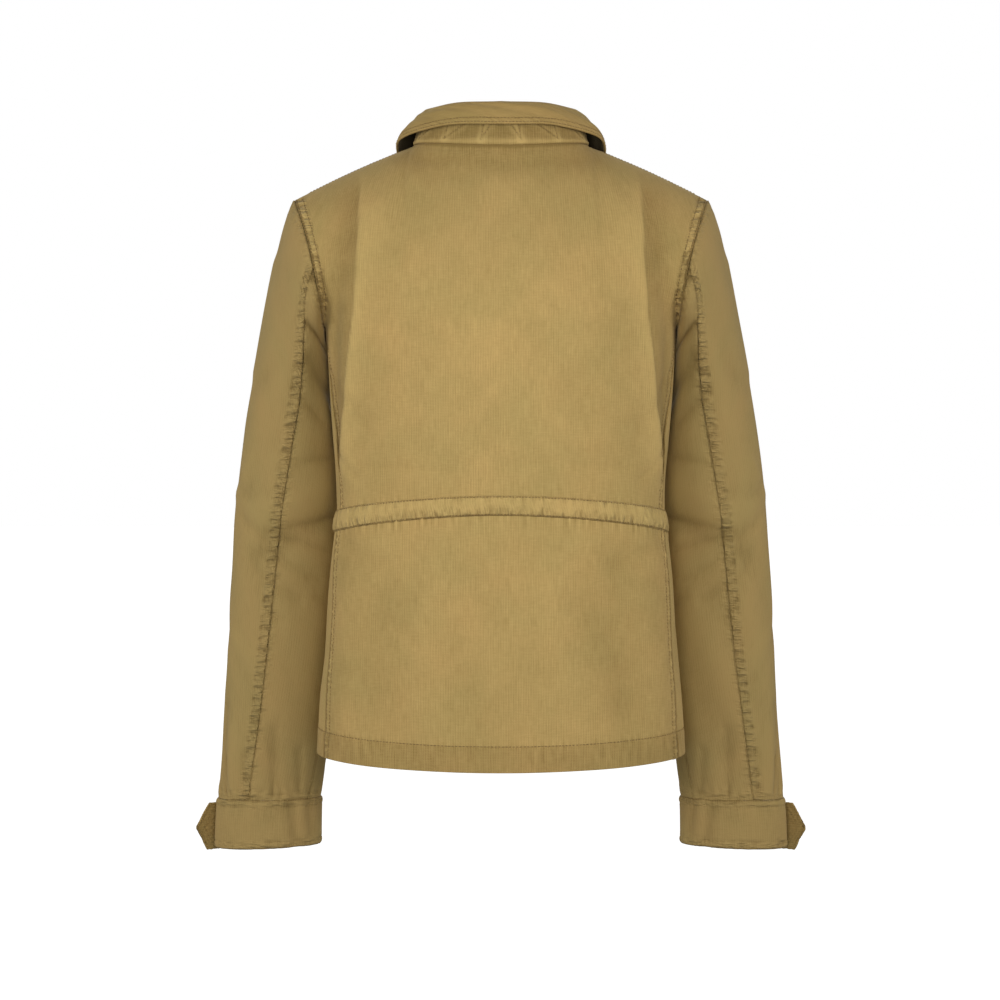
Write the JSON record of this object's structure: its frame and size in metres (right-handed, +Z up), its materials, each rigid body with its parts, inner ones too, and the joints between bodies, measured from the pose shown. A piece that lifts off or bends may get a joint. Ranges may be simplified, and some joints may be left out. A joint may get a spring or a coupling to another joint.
{
  "type": "field jacket",
  "caption": "Unlined cotton twill field jacket, filled out as worn: stand-and-fall collar, buttoned fly front, waist casing, set-in sleeves, cuffs with pointed tabs.",
  "frame": {"origin": "middle of the neck opening, level with the neck seam at its sides, where the wearer holds the jacket up", "axes": "+Z up, +Y out of the back, -Y out of the front, +X to the wearer's left"},
  "size_m": [0.5978, 0.2393, 0.7192],
  "materials": {
    "twill": "matte herringbone cotton twill",
    "twill_trim": "matte cotton twill, topstitched",
    "button": "satin brown"
  },
  "bodies": {
    "root": {"back": "twill", "front_left": "twill", "front_right": "twill", "casing_back": "twill_trim", "casing_left": "twill_trim", "casing_right": "twill_trim", "front_placket": "twill", "button_1": "button", "button_2": "button", "button_3": "button", "button_4": "button", "button_5": "button", "button_6": "button", "collar_stand": "twill_trim", "collar_fall": "twill_trim", "sleeve_top_left": "twill", "sleeve_under_left": "twill", "cuff_left": "twill_trim", "cuff_tab_left": "twill_trim", "tab_button_left": "button", "sleeve_top_right": "twill", "sleeve_under_right": "twill", "cuff_right": "twill_trim", "cuff_tab_right": "twill_trim", "tab_button_right": "button"}
  },
  "joints": []
}
